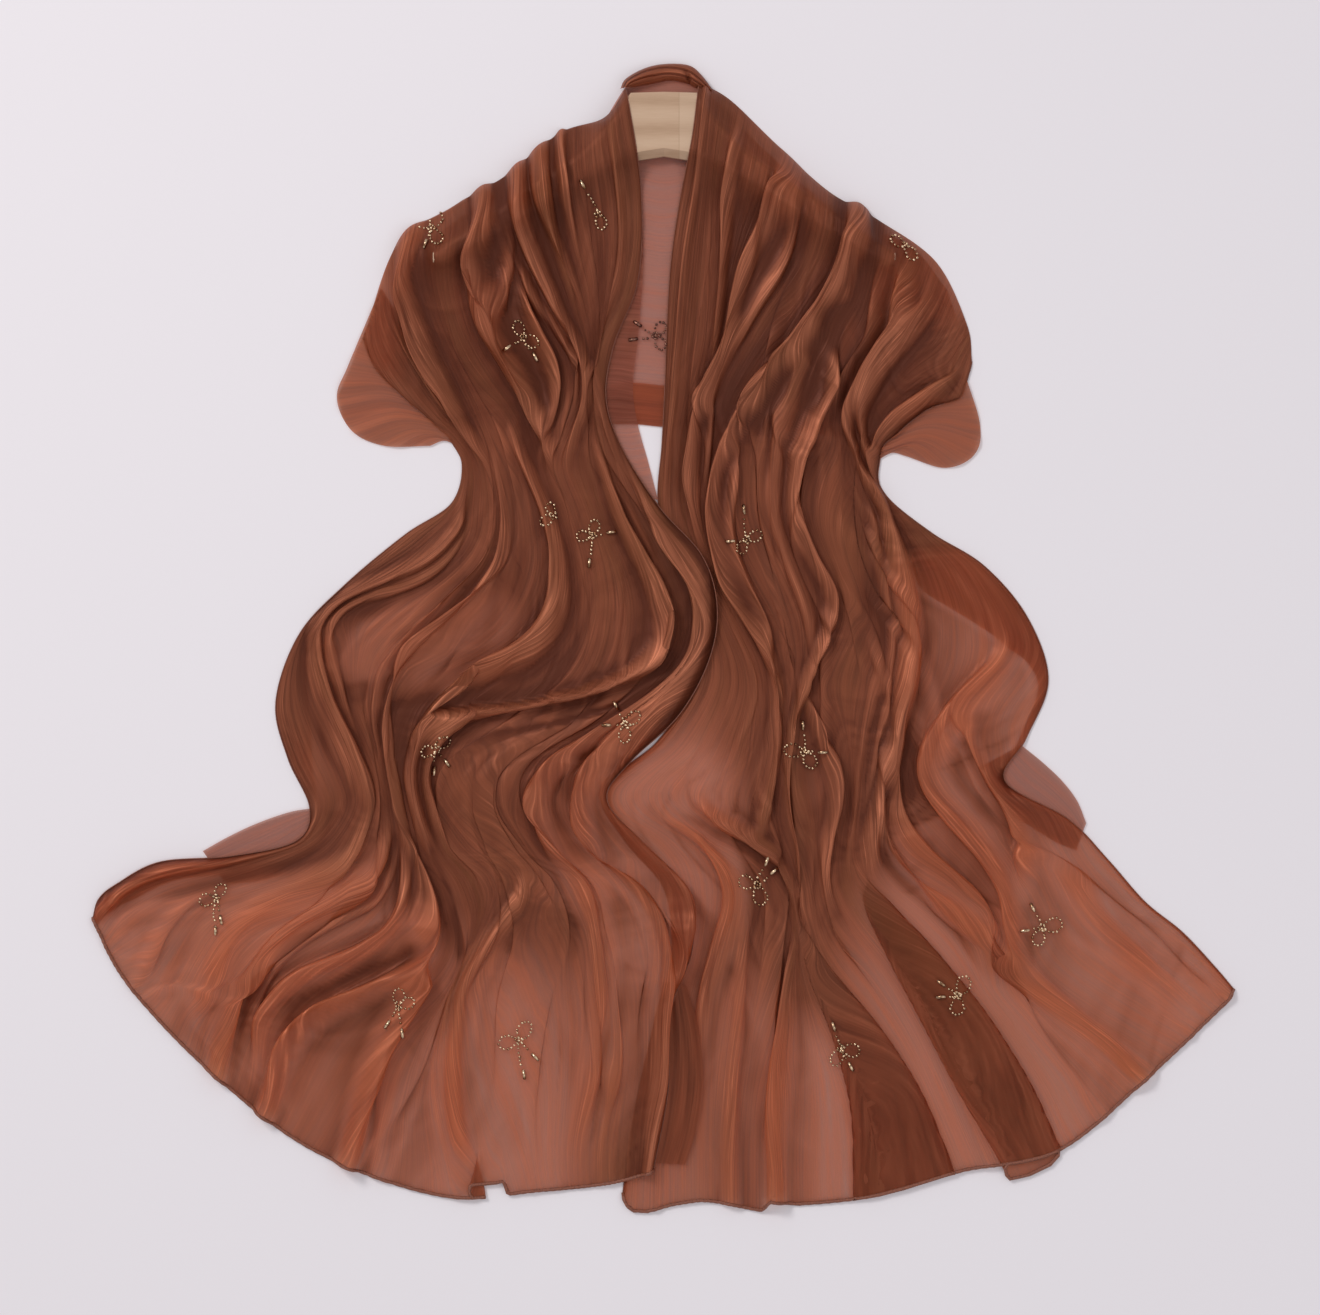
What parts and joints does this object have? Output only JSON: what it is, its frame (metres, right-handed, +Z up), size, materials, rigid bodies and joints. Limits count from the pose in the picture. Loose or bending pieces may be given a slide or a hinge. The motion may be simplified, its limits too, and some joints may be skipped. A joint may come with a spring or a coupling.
{
  "type": "long sheer hijab scarf draped flat over a wooden hanger",
  "caption": "Long sheer rust-brown hijab scarf with rolled ends, folded shawl-wise over a plain wooden hanger and laid flat, its two fronts crossing and fanning out.",
  "frame": {"origin": "middle of the lowest face of the whole part, on the surface that it lies on", "axes": "+Z up from the surface, +Y from the ends towards the nape, +X towards the right front"},
  "size_m": [0.9196, 0.9178, 0.0315],
  "materials": {
    "sheer_cloth": "sheer silky cloth with fine lengthwise creases and a soft shimmer",
    "rolled_edge": "narrow rolled hem in the same cloth, darker where it is doubled",
    "pale_wood": "smooth pale wood, satin",
    "gold_beads": "small polished gold beads and short tubes sewn on as bows"
  },
  "bodies": {
    "root": {"back_panel": "sheer_cloth", "back_hem_band": "rolled_edge", "nape_roll": "sheer_cloth", "hanger": "pale_wood", "left_turned_strip": "sheer_cloth", "left_under_flap": "sheer_cloth", "right_under_flap": "sheer_cloth", "left_turned_corner": "sheer_cloth", "left_front": "sheer_cloth", "right_front": "sheer_cloth", "left_end_hem": "rolled_edge", "right_end_hem": "rolled_edge"}
  },
  "joints": []
}
